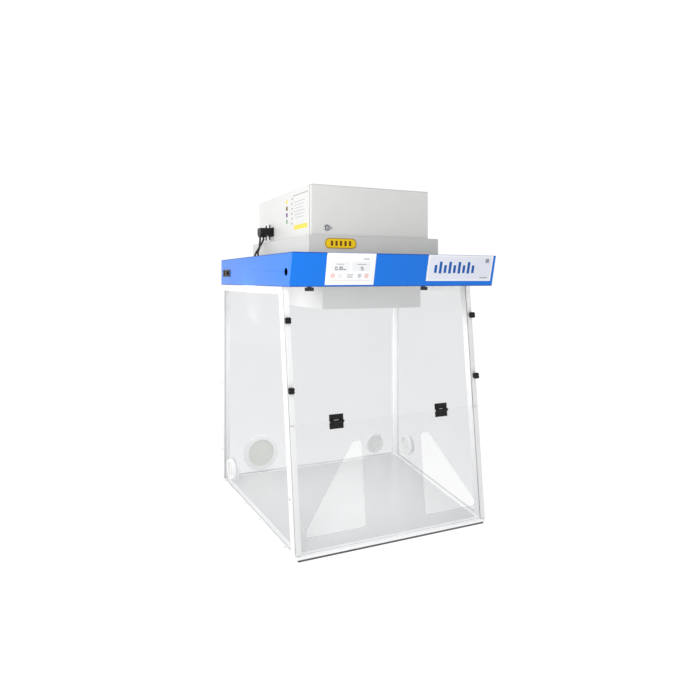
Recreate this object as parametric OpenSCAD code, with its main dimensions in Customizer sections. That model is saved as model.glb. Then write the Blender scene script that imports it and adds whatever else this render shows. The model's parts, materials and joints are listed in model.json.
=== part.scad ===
// Ductless fume hood: clear chamber on a low base, canopy, filter plenum and fan box.
// Millimetres, +Z up, front towards -Y, origin at the centre of the footprint.

/* [Overall] */
// half width of the chamber at the rear
wall_half_rear = 455; // [420:1:480]
// half width of the chamber at the front
wall_half_front = 375; // [340:1:410]
// depth of the base frame
base_depth = 715; // [650:1:725]
// height of the canopy underside
band_z = 876; // [820:1:920]
// height of the canopy
band_h = 110; // [90:1:130]
// setback of the front window at the canopy underside
window_setback = 95; // [30:1:120]

/* [Base and frame] */
// height of the rubber skids
skid_h = 7; // [4:1:15]
// height of the base frame
rail_h = 10; // [10:1:40]
// width of the base frame bars
rail_w = 25; // [20:1:40]
// thickness of the work surface
surface_t = 4; // [3:0.5:8]
// width of the front posts across the hood
post_w = 20; // [16:1:30]
// depth of the front posts
post_d = 30; // [20:1:45]
// side of the rear posts
rear_post = 28; // [20:1:35]
// height of the top rails
top_rail_h = 26; // [20:1:40]
// thickness of the clear panels
panel_t = 5; // [4:0.5:8]
// depth of the panel grooves
groove = 6; // [4:0.5:8]
// recess of the side panels behind the frame's outer face
side_in = 4; // [3:0.5:8]
// recess of the rear panel behind the frame's outer face
rear_in = 10; // [6:0.5:12]

/* [Front window and flap] */
// height of the line between window and flap
split_z = 421; // [350:1:500]
// gap between window and flap
split_gap = 2; // [1.5:0.5:4]
// thickness of the edge stiles
stile_t = 2; // [1.5:0.5:4]
// width of the edge stiles
stile_w = 19; // [14:1:26]
// width of the raised outer strip of a stile
stile_strip_w = 12; // [8:1:14]
// half distance between the two hinges
hinge_x = 212; // [150:1:280]
// width of a hinge
hinge_w = 52; // [40:1:70]
// length of a hinge leaf
leaf_l = 19; // [16:1:34]
// radius of a hinge knuckle
knuckle_r = 4.5; // [3.5:0.1:6]
// radius of a hinge pin
pin_r = 2; // [1.5:0.1:3]
// inner side of an arm opening, from the centre line
arm_x0 = 118; // [90:1:140]
// outer corner of an arm opening, from the centre line
arm_x1 = 336; // [300:1:350]
// lower edge of the arm openings
arm_z0 = 67; // [50:1:90]
// upper edge of the arm openings
arm_z1 = 349; // [320:1:380]

/* [Ports] */
// height of the side port centres
port_side_z = 95; // [80:1:130]
// height of the small rear port centre
port_small_z = 82; // [75:1:130]
// height of the large port centre
port_big_z = 107; // [105:1:130]
// outer diameter of the large port
port_big = 164; // [140:1:180]
// outer diameter of the small ports
port_small = 98; // [90:1:120]
// position of the large port
port_big_x = -277; // [-320:1:-220]
// position of the small rear port
port_small_x = 318; // [260:1:350]
// distance of the side ports from the rear
port_side_back = 130; // [100:1:200]

/* [Canopy] */
// half width of the canopy at the rear
band_half_rear = 457; // [430:1:480]
// half width of the canopy at its lower front edge
band_half_front = 400; // [370:1:430]
// lower front edge of the canopy, from the centre
band_front = 347; // [330:1:360]
// forward lean of the canopy front, degrees
tilt = 12; // [6:0.5:18]
// thickness of the canopy skin
skin_t = 2.5; // [1.5:0.5:4]
// thickness of the front trim plates
plate_t = 2; // [1:0.5:3]
// diameter of the cable hole
cable_d = 25; // [16:1:30]

/* [Filter stack] */
// half width of the filter tray
tray_half = 209; // [190:1:230]
// depth of the filter tray below the canopy
tray_drop = 85; // [60:1:110]
// height of the plenum top
plenum_top = 1057; // [1030:1:1090]
// height of the fan box top
box_top = 1244; // [1200:1:1280]
// half width of the plenum front
plenum_half = 274; // [260:1:290]
// half width of the fan box front
box_half = 249; // [230:1:260]

/* [Hidden] */
$fn = 48;
// ---- derived ----
e = 0.2;
band_l = band_h / cos(tilt);
plate_gap = 1;
y_rear = band_front + plate_t * cos(tilt) + (band_l - plate_gap) * sin(tilt);
y_base = y_rear - base_depth;
wall_k = (wall_half_rear - wall_half_front) / base_depth;
wall_a = atan(wall_k);
lean = atan(window_setback / band_z);
win_y0 = y_base + panel_t + 1;
band_k = (band_half_rear - band_half_front) / (y_rear + band_front);
band_a = atan(band_k);
band_y0 = -band_front;
band_top = band_z + band_h;
rail_top = skid_h + rail_h;
skid_w = 20;
// clearance of a part seated in its groove or opening
seat = 0.3;
panel_z0 = rail_top - groove + seat;
panel_z1 = band_z - top_rail_h + groove - seat;
split_v = split_z / cos(lean);
win_top = (band_z - 2) / cos(lean);
flap_bottom = (rail_top + 3) / cos(lean);
hinge_off = panel_t + knuckle_r + 0.1;
knob_v = [537, 766];
knob_in = 8;
knob_stud_r = 3;
turn_fit = 0.05;
knob_r = 12;
knob_h = 10;
stile_step = 0.8;
port_y = y_rear - port_side_back;
port_out_side = 13;
port_out_rear = 9;
port_flange = 9;
cap_grip = 6;
tray_y0 = -177;
tray_y1 = 244;
tray_z0 = band_z - tray_drop;
clamp_x = 246;
clamp_y = -143;
clamp_stud_r = 4;
plenum_y0 = -201;
plenum_y1 = 346;
box_y0 = -170;
box_y1 = 338;
box_sheet = 2;
fan_y = 84;
wheel_r = 150;
wheel_z0 = plenum_top + 23;
wheel_z1 = box_top - 93;
blades = 7;
shaft_r = 6;
door_d = 16;
door_gap = 0.6;
box_in_y = box_y0 + door_d + 1.5;
inlet_r = 104;
vent_half = 165;
pivot_x = box_half - 4;
pivot_y = box_y0 + 12;
pivot_r = 3;
lock_x = -189;
lock_z = 1087;
lock_r = 9;
inlet_y = y_rear - 80;
inlet_z = band_z + 50;
inlet_l = 92;
inlet_h = 30;
rocker_s = 27;
conn_y = 194;
conn_z = 1100;
lead_r = 4;
cable_y = -321;
cable_z = band_z + 48;

// ---- smaller details ----
// half size of the slabs that cut the walls and the front
reach = 700;
// the skids stand this far in from the base outline
skid_in = 2;
rear_panel_cut = 12;
ring_chamfer = 3;
sleeve_t = 4;
bore_part = 0.365;
hinge_t = 2;
hinge_gap = 0.4;
hinge_screw_r = 3.4;
hinge_screw_h = 1.2;
pin_head = 1.5;
arm_toe = 22;
arm_top_w = 36;
arm_r = 10;
flap_relief = 0.4;
knob_base_r = 7;
knob_base_h = 4;
lobe_r = 6;
// control panel, displays, board and name plate, along and up the canopy front
fascia_x = -279;
fascia_w = 178;
fascia_v = 6;
tile_x = [-262, -186];
tile_v = 52;
tile_w = 64;
tile_h = 30;
tile_t = 0.6;
board_x = -270;
board_v = 16;
board_w = 160;
board_h = 78;
board_t = 2;
board_back = 8;
chip_x = [-255, -220, -160];
spacer_x = [-265, -115];
spacer_v = [20, 90];
sign_x = 106;
sign_v = 19;
sign_w = 280;
// badge on the plenum
badge_x = -148;
badge_z = 1029;
badge_half = 44;
badge_r = 18.5;
badge_t = 1.5;
badge_rim = 3;
// filter stack
tray_sheet = 2;
tray_lip = 14;
filter_half = 195;
filter_y0 = -164;
filter_d = 394;
filter_inset = 7;
filter_flange = 12;
media_z = band_z + 5;
media_h = 112;
mat_h = 14;
mat_slots = 9;
clamp_r = 17;
clamp_h = 13;
clamp_drop = 19;
clamp_lobe_r = 7;
plenum_z0 = band_z + 3.1;
plenum_sheet = 2;
plenum_hole_r = 110;
collar_h = 18;
// exhaust grille, motor and impeller
vent_flange = 172;
grille_t = 3;
grille_slots = 14;
grille_pitch = 23;
grille_slot = 13;
motor_r = 50;
motor_h = 56;
motor_arm = 30;
wheel_t = 3;
wheel_hub_r = 20;
blade_r0 = 92;
blade_l = 66;
blade_turn = 40;
// power module and its switch
switch_pivot = 5;
switch_pin_r = 2;
// lock and its plate
lock_plate_r = 12.5;
lock_plate_t = 1.5;
lock_head_r = 10.5;
lock_stem_r = 5;
// screws: heights on the rear posts, distances forward along the rails
screw_r = 4;
post_screw_z = [140, 438, 731];
top_screw_s = [90, 330, 560];
base_screw_s = [45, 290, 430, 640];

// ---- plan of the tapered walls ----
function wall_half(y) = wall_half_rear - (y_rear - y) * wall_k;
function band_half(y) = band_half_rear - (y_rear - y) * band_k;
function win_half(v) = wall_half(y_base + v * sin(lean));
function stack_half(half0, y0, y) = half0 + band_k * (y - y0);
function stack_plan(half0, y0, ya, yb, inset) = [
  [-stack_half(half0, y0, ya) + inset, ya], [stack_half(half0, y0, ya) - inset, ya],
  [stack_half(half0, y0, yb) - inset, yb], [-stack_half(half0, y0, yb) + inset, yb]];
function base_plan(i) = [
  [-wall_half(y_base + i) + i, y_base + i], [wall_half(y_base + i) - i, y_base + i],
  [wall_half(y_rear - i) - i, y_rear - i], [-wall_half(y_rear - i) + i, y_rear - i]];
function band_plan(i) = [
  [-band_half(-reach) + i, -reach], [band_half(-reach) - i, -reach],
  [band_half(y_rear - i) - i, y_rear - i], [-band_half(y_rear - i) + i, y_rear - i]];

// corner arcs of a rounded polygon
function unit(v) = v / norm(v);
function arc_pts(p, a, b, r, n) =
  let (u = unit(a - p), w = unit(b - p), half = acos(u * w) / 2,
    c = p + unit(u + w) * (r / sin(half)),
    s = p + u * (r / tan(half)) - c, t = p + w * (r / tan(half)) - c,
    a0 = atan2(s[1], s[0]), d0 = atan2(t[1], t[0]) - a0,
    d = d0 > 180 ? d0 - 360 : d0 < -180 ? d0 + 360 : d0)
  [for (i = [0 : n]) c + r * [cos(a0 + d * i / n), sin(a0 + d * i / n)]];
function round_poly(p, r, n) = let (m = len(p))
  [for (i = [0 : m - 1]) each arc_pts(p[i], p[(i + m - 1) % m], p[(i + 1) % m], r, n)];

// ---- placing helpers ----
module on_window() {
  translate([0, win_y0, 0]) rotate([-lean, 0, 0]) children();
}
module on_band_front() {
  translate([0, band_y0, band_z]) rotate([tilt, 0, 0]) children();
}
// left wall frame: +X inwards, -Y to the front
module on_wall(half, ang) {
  translate([-half, y_rear, 0]) rotate([0, 0, ang]) children();
}
module on_wall_port() {
  translate([-wall_half(port_y), port_y, port_side_z]) rotate([0, 0, wall_a]) rotate([0, -90, 0]) children();
}
module window_slab(y0, y1) {
  on_window() translate([-reach, y0, -reach]) cube([2 * reach, y1 - y0, 3 * reach]);
}
module wall_slab(x0, x1, z0, z1) {
  on_wall(wall_half_rear, wall_a) translate([x0, -2 * reach, z0]) cube([x1 - x0, 3 * reach, z1 - z0]);
}
module slab_y(y0, y1) {
  translate([-reach, y0, -reach]) cube([2 * reach, y1 - y0, 3 * reach]);
}
// flat plate standing in the window plane, from a profile in x and height
module window_plate(pts, y0, t) {
  on_window() translate([0, y0 + t, 0]) rotate([90, 0, 0]) linear_extrude(t) polygon(pts);
}
module rod(a, b, r) {
  d = b - a;
  l = norm(d);
  translate(a) rotate([0, acos(d[2] / l), atan2(d[1], d[0])]) cylinder(h = l, r = r, $fn = 24);
}
module path_rod(p, r) {
  for (i = [0 : len(p) - 2]) rod(p[i], p[i + 1], r);
  for (i = [1 : len(p) - 2]) translate(p[i]) sphere(r = r * 1.03, $fn = 24);
}

// ---- clear side panel and its groove ----
module side_panel_body(g) {
  difference() {
    intersection() {
      wall_slab(side_in - g, side_in + panel_t + g, panel_z0 - g, panel_z1 + g);
      slab_y(-reach, y_rear - rear_post + groove - seat + g);
    }
    window_slab(-reach, post_d - groove + seat - g);
  }
}
module rear_panel_body(g) {
  half = wall_half(y_rear - rear_panel_cut) - rear_post + groove - 0.8 + g;
  translate([-half, y_rear - rear_in - panel_t - g, panel_z0 - g])
    cube([2 * half, panel_t + 2 * g, panel_z1 - panel_z0 + 2 * g]);
}
module grooves() {
  side_panel_body(e);
  mirror([1, 0, 0]) side_panel_body(e);
  rear_panel_body(e);
}

// ---- base ----
module skids() {
  color("#202224") {
    translate([-wall_half_front + 8, y_base + skid_in, 0]) cube([2 * wall_half_front - 16, skid_w, skid_h]);
    translate([-wall_half_rear + 14, y_rear - skid_in - skid_w, 0])
      cube([2 * wall_half_rear - 28, skid_w, skid_h]);
  }
}
module base_frame() {
  color("#f2f3f3") difference() {
    union() {
      translate([0, 0, skid_h]) linear_extrude(rail_h) difference() {
        polygon(base_plan(0));
        polygon(base_plan(rail_w));
      }
      translate([0, 0, skid_h]) linear_extrude(surface_t - e) difference() {
        polygon(base_plan(rail_w - 1));
        polygon(base_plan(rail_w + 10));
      }
    }
    grooves();
  }
}
module work_surface() {
  color("#d9dadb") translate([0, 0, skid_h + surface_t])
    linear_extrude(surface_t) polygon(base_plan(rail_w + seat));
}

// ---- frame ----
module front_post_body() {
  color("#f2f3f3") difference() {
    intersection() {
      wall_slab(0, post_w, rail_top, band_z);
      window_slab(0, post_d);
    }
    grooves();
    for (v = knob_v) knob_bore(v);
  }
}
module knob_bore(v) {
  on_window() translate([-win_half(v) + knob_in, 18, v]) rotate([90, 0, 0])
    cylinder(h = 60, r = knob_stud_r + turn_fit);
}
module post_front_left() {
  front_post_body();
}
module post_front_right() {
  mirror([1, 0, 0]) front_post_body();
}
module rear_post_body() {
  y0 = y_rear - rear_post;
  color("#f2f3f3") difference() {
    translate([0, 0, rail_top]) linear_extrude(band_z - rail_top) polygon([
      [-wall_half(y_rear), y_rear], [-wall_half(y0), y0],
      [-wall_half(y0) + rear_post, y0], [-wall_half(y_rear) + rear_post, y_rear]]);
    grooves();
  }
}
module post_rear_left() {
  rear_post_body();
}
module post_rear_right() {
  mirror([1, 0, 0]) rear_post_body();
}
module side_top_rail() {
  color("#f2f3f3") difference() {
    intersection() {
      wall_slab(0, post_w, band_z - top_rail_h, band_z);
      slab_y(-reach, y_rear - rear_post - 0.1);
    }
    window_slab(-reach, post_d + 0.1);
    side_panel_body(e);
  }
}
module top_rail_left() {
  side_top_rail();
}
module top_rail_right() {
  mirror([1, 0, 0]) side_top_rail();
}
module top_rail_rear() {
  half = wall_half(y_rear - post_w) - rear_post - 0.1;
  color("#f2f3f3") difference() {
    translate([-half, y_rear - post_w, band_z - top_rail_h]) cube([2 * half, post_w, top_rail_h]);
    rear_panel_body(e);
  }
}
module side_panel() {
  color("#dfe6ea", 0.35) difference() {
    side_panel_body(0);
    on_wall_port() translate([0, 0, -60]) cylinder(h = 120, r = sleeve_r(port_small) + e, $fn = 96);
  }
}
module panel_left() {
  side_panel();
}
module panel_right() {
  mirror([1, 0, 0]) side_panel();
}
module panel_rear() {
  color("#dfe6ea", 0.35) difference() {
    rear_panel_body(0);
    for (p = [[port_big_x, port_big, port_big_z], [port_small_x, port_small, port_small_z]])
      translate([p[0], y_rear, p[2]]) rotate([90, 0, 0])
        cylinder(h = 60, r = sleeve_r(p[1]) + e, $fn = 96);
  }
}

// ---- window ----
module window_upper() {
  v0 = split_v + split_gap / 2;
  color("#dfe6ea", 0.35) difference() {
    window_plate([[-win_half(v0) + 1, v0], [win_half(v0) - 1, v0],
      [win_half(win_top) - 1, win_top], [-win_half(win_top) + 1, win_top]], -panel_t, panel_t);
    for (v = knob_v) {
      knob_bore(v);
      mirror([1, 0, 0]) knob_bore(v);
    }
  }
}
module stile_strip(v0, v1, w, t) {
  window_plate([[win_half(v0) - 1 - w, v0], [win_half(v0) - 1, v0],
    [win_half(v1) - 1, v1], [win_half(v1) - 1 - w, v1]], -panel_t - t, t);
}
module stile(v0, v1) {
  stile_strip(v0, v1, stile_w, stile_t - stile_step);
  stile_strip(v0, v1, stile_strip_w, stile_t);
}
module window_stiles() {
  v0 = split_v + split_gap / 2;
  color("#eceded") for (m = [0, 1]) mirror([m, 0, 0]) difference() {
    stile(v0, win_top);
    for (v = knob_v) mirror([1, 0, 0]) knob_bore(v);
  }
}
// leaf plate with its knuckles; the knuckle axis is the local X axis
module hinge_leaf(up, segs) {
  s = up ? 1 : -1;
  leaf_y = hinge_off - panel_t - hinge_t;
  difference() {
    union() {
      translate([-hinge_w / 2, leaf_y, up ? knuckle_r + 0.5 : -knuckle_r - 0.5 - leaf_l])
        cube([hinge_w, hinge_t, leaf_l]);
      for (g = segs) {
        translate([g[0], 0, 0]) rotate([0, 90, 0]) cylinder(h = g[1], r = knuckle_r);
        translate([g[0], leaf_y, up ? 0 : -knuckle_r - 1]) cube([g[1], hinge_t, knuckle_r + 1]);
      }
      for (x = [-hinge_w / 4, hinge_w / 4]) translate([x, leaf_y, s * (knuckle_r + leaf_l / 2)])
        rotate([90, 0, 0]) cylinder(h = hinge_screw_h, r = hinge_screw_r);
    }
    translate([-hinge_w, 0, 0]) rotate([0, 90, 0]) cylinder(h = 2 * hinge_w, r = pin_r + turn_fit);
  }
}
module at_hinges() {
  for (x = [-hinge_x, hinge_x]) on_window() translate([x, -hinge_off, split_v]) children();
}
module hinge_leaves_upper() {
  side = hinge_w / 3 - hinge_gap;
  color("#1c1d1f") at_hinges()
    hinge_leaf(true, [[-hinge_w / 2, side], [hinge_w / 2 - side, side]]);
}
module hinge_pins() {
  color("#9a9da0") at_hinges() {
    translate([-hinge_w / 2, 0, 0]) rotate([0, 90, 0]) cylinder(h = hinge_w, r = pin_r);
    translate([-hinge_w / 2 - pin_head, 0, 0]) rotate([0, 90, 0]) cylinder(h = pin_head, r = pin_r + 1.2);
    translate([hinge_w / 2, 0, 0]) rotate([0, 90, 0]) cylinder(h = pin_head, r = pin_r + 1.2);
  }
}
module hinge_leaves_lower() {
  mid = hinge_w / 3 - hinge_gap;
  color("#1c1d1f") at_hinges() hinge_leaf(false, [[-mid / 2, mid]]);
}
module arm_opening(m) {
  k = 1 / cos(lean);
  mirror([m, 0, 0]) window_plate(round_poly([[arm_x0, arm_z0 * k], [arm_x1, arm_z0 * k],
    [arm_x1, (arm_z0 + arm_toe) * k], [arm_x0 + arm_top_w, arm_z1 * k], [arm_x0, arm_z1 * k]], arm_r, 6),
    -40, 80);
}
module flap_panel() {
  v1 = split_v - split_gap / 2;
  color("#dfe6ea", 0.35) difference() {
    window_plate([[-win_half(flap_bottom) + 1, flap_bottom], [win_half(flap_bottom) - 1, flap_bottom],
      [win_half(v1) - 1, v1], [-win_half(v1) + 1, v1]], -panel_t, panel_t - flap_relief);
    arm_opening(0);
    arm_opening(1);
  }
}
module flap_stiles() {
  v1 = split_v - split_gap / 2;
  color("#eceded") for (m = [0, 1]) mirror([m, 0, 0]) stile(flap_bottom, v1);
}

// ---- window knobs ----
module window_knob(v) {
  color("#17181a") on_window() translate([-win_half(v) + knob_in, -panel_t - stile_t - flap_relief, v])
    rotate([90, 0, 0]) {
      cylinder(h = knob_base_h, r = knob_base_r);
      translate([0, 0, knob_base_h]) difference() {
        cylinder(h = knob_h, r = knob_r);
        for (a = [0 : 90 : 270]) rotate([0, 0, a]) translate([knob_r + 3, 0, -1])
          cylinder(h = knob_h + 2, r = lobe_r);
      }
      translate([0, 0, -19]) cylinder(h = 20, r = knob_stud_r);
    }
}
module window_knob_ul() {
  window_knob(knob_v[1]);
}
module window_knob_ll() {
  window_knob(knob_v[0]);
}
module window_knob_ur() {
  mirror([1, 0, 0]) window_knob(knob_v[1]);
}
module window_knob_lr() {
  mirror([1, 0, 0]) window_knob(knob_v[0]);
}

// ---- ports: local +Z points out of the chamber, z = 0 at the outer panel face ----
function bore_r(od) = od * bore_part;
function sleeve_r(od) = bore_r(od) + sleeve_t;
module port_ring(od, out) {
  z0 = -panel_t - port_flange - e;
  color("#f4f5f5") difference() {
    union() {
      translate([0, 0, z0]) cylinder(h = port_flange, r1 = od / 2 - ring_chamfer, r2 = od / 2, $fn = 96);
      translate([0, 0, z0]) cylinder(h = out - z0, r = sleeve_r(od), $fn = 96);
    }
    translate([0, 0, -60]) cylinder(h = 120, r = bore_r(od), $fn = 96);
  }
}
module port_cap(od, out) {
  r = bore_r(od) - 0.5;
  color("#8f918a") difference() {
    translate([0, 0, -panel_t - sleeve_t]) cylinder(h = panel_t + sleeve_t + out, r = r, $fn = 96);
    difference() {
      translate([0, 0, -panel_t]) cylinder(h = 60, r = r - sleeve_t, $fn = 96);
      translate([-r, -cap_grip / 2, -panel_t - 1]) cube([2 * r, cap_grip, panel_t + out - 1]);
    }
  }
}
module at_rear_port(x, z) {
  translate([x, y_rear - rear_in, z]) rotate([-90, 0, 0]) children();
}
module at_left_port() {
  on_wall_port() translate([0, 0, -side_in]) children();
}
module port_ring_rear_large() {
  at_rear_port(port_big_x, port_big_z) port_ring(port_big, port_out_rear);
}
module port_ring_rear_small() {
  at_rear_port(port_small_x, port_small_z) port_ring(port_small, port_out_rear);
}
module port_ring_left() {
  at_left_port() port_ring(port_small, port_out_side);
}
module port_ring_right() {
  mirror([1, 0, 0]) at_left_port() port_ring(port_small, port_out_side);
}
module port_cap_rear_large() {
  at_rear_port(port_big_x, port_big_z) port_cap(port_big, port_out_rear);
}
module port_cap_rear_small() {
  at_rear_port(port_small_x, port_small_z) port_cap(port_small, port_out_rear);
}
module port_cap_left() {
  at_left_port() port_cap(port_small, port_out_side - 1);
}
module port_cap_right() {
  mirror([1, 0, 0]) at_left_port() port_cap(port_small, port_out_side - 1);
}

// ---- canopy ----
module canopy_solid(i, z0, z1) {
  intersection() {
    translate([0, 0, z0]) linear_extrude(z1 - z0) polygon(band_plan(i));
    on_band_front() translate([-reach, i, -reach]) cube([2 * reach, 2 * reach, 2 * reach]);
  }
}
module on_band_wall(y, z) {
  on_wall(band_half_rear, band_a) translate([0, (y - y_rear) / cos(band_a), z]) children();
}
module canopy_shell() {
  color("#1f7fe6") difference() {
    canopy_solid(0, band_z, band_top);
    canopy_solid(skin_t, band_z - 1, band_top + 1);
    on_band_wall(cable_y, cable_z) rotate([0, 90, 0])
      translate([0, 0, -10]) cylinder(h = 40, r = cable_d / 2, $fn = 64);
    on_band_wall(inlet_y, inlet_z)
      translate([-10, -inlet_l / 2 + 2, -inlet_h / 2 + 1.5]) cube([40, inlet_l - 4, inlet_h - 3]);
  }
}
module canopy_deck() {
  color("#e9eaea") difference() {
    canopy_solid(skin_t + e, band_z, band_z + 3);
    translate([-tray_half + 5, tray_y0 + 5, band_z - 1])
      cube([2 * tray_half - 10, tray_y1 - tray_y0 - 10, 10]);
    for (x = [-clamp_x, clamp_x]) translate([x, clamp_y, band_z - 1])
      cylinder(h = 10, r = clamp_stud_r + turn_fit);
  }
}
module canopy_cover() {
  color("#e9eaea") difference() {
    canopy_solid(skin_t + e, band_top - 3, band_top);
    translate([0, 0, band_top - 5]) linear_extrude(10)
      polygon(stack_plan(plenum_half, plenum_y0, plenum_y0 - 0.3, plenum_y1 + 0.3, -0.3));
    for (p = grommet_at) translate([p[0], p[1], band_top - 10]) cylinder(h = 20, r = lead_r + 3);
  }
}
module control_fascia() {
  color("#f7f8f8") on_band_front() translate([fascia_x, -plate_t, fascia_v])
    cube([fascia_w, plate_t, band_l - fascia_v - plate_gap]);
}
module display_tiles() {
  color("#cfe3ea") on_band_front() for (x = tile_x)
    translate([x, -plate_t - tile_t, tile_v]) cube([tile_w, tile_t, tile_h]);
}
module control_board() {
  color("#2f6b45") on_band_front() {
    translate([board_x, skin_t + board_back, board_v]) cube([board_w, board_t, board_h]);
    for (x = chip_x) translate([x, skin_t + board_back + board_t, 30]) cube([22, 8, 26]);
    for (x = spacer_x) for (v = spacer_v) translate([x, skin_t + e, v]) rotate([-90, 0, 0])
      cylinder(h = board_back, r = 3);
  }
}
module sign_plate() {
  color("#f4f4f8") on_band_front() translate([sign_x, -plate_t, sign_v])
    cube([sign_w, plate_t, band_l - sign_v - plate_gap]);
}
module badge() {
  at = [badge_x, plenum_y0, badge_z];
  color("#f2c500") for (i = [0, 1]) translate(at - [0, i * badge_t, 0]) rotate([90, 0, 0]) {
    r = badge_r - i * badge_rim;
    for (x = [-badge_half, badge_half]) translate([x, 0, 0]) cylinder(h = badge_t, r = r);
    translate([-badge_half, -r, 0]) cube([2 * badge_half, 2 * r, badge_t]);
  }
}

// ---- power module on the left wall of the canopy ----
module power_inlet() {
  color("#17181a") on_band_wall(inlet_y, inlet_z) difference() {
    union() {
      translate([-2.5, -inlet_l / 2, -inlet_h / 2]) cube([2.5, inlet_l, inlet_h]);
      translate([0, -inlet_l / 2 + 2.4, -inlet_h / 2 + 1.9]) cube([26, inlet_l - 4.8, inlet_h - 3.8]);
    }
    difference() {
      translate([-10, -34, -9]) cube([26, 28, 18]);
      for (p = [[-20, 3], [-27, -3], [-13, -3]])
        translate([0, p[0] - 1, p[1] - 2]) cube([20, 2, 4]);
    }
    translate([-10, rocker_s - 11, -10.5]) cube([22, 22, 21]);
    translate([switch_pivot, rocker_s - 14, 0]) rotate([-90, 0, 0])
      cylinder(h = 28, r = switch_pin_r + turn_fit);
  }
}
module power_rocker() {
  color("#c8571e") on_band_wall(inlet_y, inlet_z) {
    translate([switch_pivot, rocker_s + 10, 0]) rotate([90, 0, 0]) linear_extrude(20)
      polygon([[-6.5, -9.2], [-7.2, 0], [-6.5, 9.2], [1, 8], [4, 3], [4, -3], [1, -8]]);
    translate([switch_pivot, rocker_s - 13, 0]) rotate([-90, 0, 0]) cylinder(h = 26, r = switch_pin_r);
  }
}

// ---- filter tray and filters ----
module filter_tray() {
  d = tray_y1 - tray_y0;
  color("#b9bcbe") {
    difference() {
      translate([-tray_half, tray_y0, tray_z0]) cube([2 * tray_half, d, tray_drop - 0.1]);
      translate([-tray_half + tray_sheet, tray_y0 + tray_sheet, tray_z0 + tray_sheet])
        cube([2 * (tray_half - tray_sheet), d - 2 * tray_sheet, tray_drop]);
      translate([-tray_half + tray_lip, tray_y0 + tray_lip, tray_z0 - 1])
        cube([2 * (tray_half - tray_lip), d - 2 * tray_lip, 10]);
    }
    difference() {
      translate([-tray_half + 1, tray_y0 + 1, band_z - 8]) cube([2 * tray_half - 2, d - 2, tray_sheet]);
      translate([-tray_half + 16, tray_y0 + 16, band_z - 10]) cube([2 * tray_half - 32, d - 32, 6]);
    }
    for (m = [0, 1]) mirror([m, 0, 0]) difference() {
      translate([tray_half - 1, clamp_y - 17, band_z - 3.2]) cube([clamp_x - tray_half + 18, 34, 3]);
      translate([clamp_x, clamp_y, band_z - 10]) cylinder(h = 20, r = clamp_stud_r + turn_fit);
    }
  }
}
module prefilter() {
  d = tray_y1 - tray_y0;
  color("#dfe2e3") difference() {
    translate([-tray_half + 3, tray_y0 + 3, tray_z0 + 2.2]) cube([2 * tray_half - 6, d - 6, mat_h]);
    for (i = [0 : mat_slots - 1]) translate([-180 + i * 41, tray_y0 + 24, tray_z0 - 1]) cube([32, d - 48, 9]);
  }
}
module main_filter() {
  color("#e4e2da") {
    for (z = [band_z - 5.8, media_z + media_h - 1])
      translate([-filter_half, filter_y0, z]) cube([2 * filter_half, filter_d, filter_flange]);
    translate([-filter_half + filter_inset, filter_y0 + filter_inset, media_z])
      cube([2 * (filter_half - filter_inset), filter_d - 2 * filter_inset, media_h]);
  }
}
module clamp_knob(m) {
  color("#17181a") mirror([m, 0, 0]) translate([-clamp_x, clamp_y, band_z - clamp_drop]) {
    difference() {
      cylinder(h = clamp_h, r = clamp_r);
      for (a = [0 : 60 : 300]) rotate([0, 0, a]) translate([clamp_r + 4, 0, -1])
        cylinder(h = clamp_h + 7, r = clamp_lobe_r);
    }
    cylinder(h = 15.4, r = 9);
    cylinder(h = 30, r = clamp_stud_r);
  }
}
module clamp_knob_left() {
  clamp_knob(0);
}
module clamp_knob_right() {
  clamp_knob(1);
}

// ---- plenum and fan box ----
module plenum() {
  color("#a9adb0") difference() {
    translate([0, 0, plenum_z0]) linear_extrude(plenum_top - plenum_z0)
      polygon(stack_plan(plenum_half, plenum_y0, plenum_y0, plenum_y1, 0));
    translate([0, 0, plenum_z0 - 1]) linear_extrude(plenum_top - plenum_z0 - 1)
      polygon(stack_plan(plenum_half, plenum_y0, plenum_y0 + plenum_sheet, plenum_y1 - plenum_sheet,
        plenum_sheet));
    translate([0, fan_y, plenum_top - 10]) cylinder(h = 20, r = plenum_hole_r, $fn = 96);
  }
}
module fan_box_plan(z, h) {
  translate([0, 0, z]) linear_extrude(h) polygon(stack_plan(box_half, box_y0, box_y0, box_y1, 0));
}
module door_pivot(z) {
  translate([pivot_x, pivot_y, z]) cylinder(h = 12, r = pivot_r);
}
module fan_box_floor() {
  z0 = plenum_top;
  color("#f4f5f5") {
    difference() {
      fan_box_plan(z0, box_sheet);
      translate([0, fan_y, z0 - 5]) cylinder(h = 20, r = inlet_r, $fn = 96);
    }
    difference() {
      translate([0, fan_y, z0 + 1]) cylinder(h = collar_h + 1, r = inlet_r + box_sheet, $fn = 96);
      translate([0, fan_y, z0 - 5]) cylinder(h = 40, r = inlet_r, $fn = 96);
    }
    translate([-box_half + 3, box_in_y, z0 + 1]) cube([2 * box_half - 6, box_sheet, collar_h]);
    door_pivot(z0 + 1);
  }
}
module fan_box() {
  z0 = plenum_top + box_sheet;
  color("#f4f5f5") {
    difference() {
      fan_box_plan(z0, box_top - z0);
      translate([0, 0, z0 - 1]) linear_extrude(box_top - box_sheet - z0 + 1)
        polygon(stack_plan(box_half, box_y0, box_in_y - 1, box_y1 - box_sheet, box_sheet));
      translate([-400, box_y0 - 10, z0 - 1])
        cube([800, box_in_y - box_y0 + 10, box_top - box_sheet - z0 + 1]);
      translate([-vent_half, fan_y - vent_half, box_top - 5]) cube([2 * vent_half, 2 * vent_half, 10]);
    }
    door_pivot(box_top - 13);
  }
}
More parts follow.
